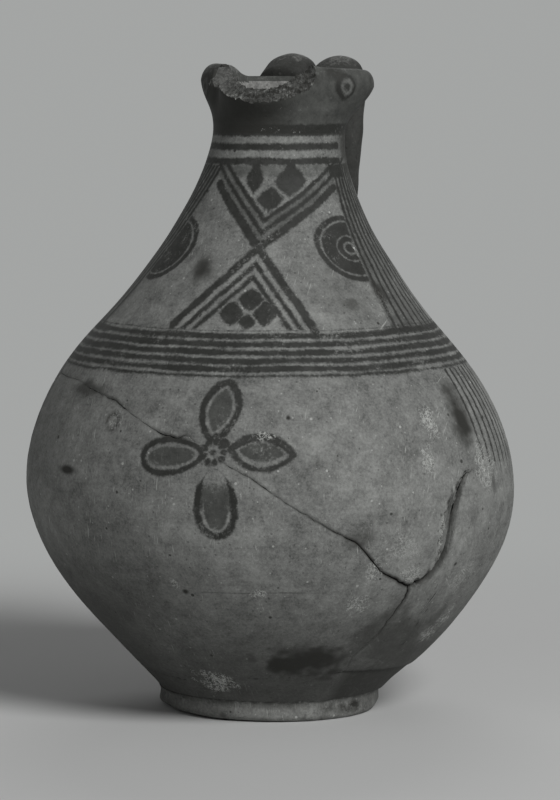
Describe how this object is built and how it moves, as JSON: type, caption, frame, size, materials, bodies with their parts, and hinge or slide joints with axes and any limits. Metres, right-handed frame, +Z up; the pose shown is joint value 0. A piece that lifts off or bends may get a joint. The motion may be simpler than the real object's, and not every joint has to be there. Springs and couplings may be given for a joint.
{
  "type": "ceramic jug",
  "caption": "Mended painted clay jug with ring foot, egg-shaped body, cone neck, pinched pouring mouth with a broken spout lip, and a double-coil handle.",
  "frame": {"origin": "centre of the foot ring's underside, on the surface that the jug stands on", "axes": "+Z up along the axis of the body, -Y towards the pouring spout, +Y towards the handle"},
  "size_m": [0.203, 0.203, 0.2721],
  "materials": {
    "painted_clay": "unglazed fired clay, smoothed, with worn dark brush painting",
    "dark_clay": "unglazed fired clay under worn dark paint",
    "foot_clay": "bare unglazed fired clay, rubbed and stained"
  },
  "bodies": {
    "root": {"foot_ring": "foot_clay", "base_sherd": "foot_clay", "front_wall_sherd": "painted_clay", "right_wall_sherd": "painted_clay", "left_wall_sherd": "painted_clay", "shoulder_sherd": "painted_clay", "neck_cone": "painted_clay", "pinched_mouth": "painted_clay", "handle_coil_left": "dark_clay", "handle_coil_right": "dark_clay"}
  },
  "joints": []
}
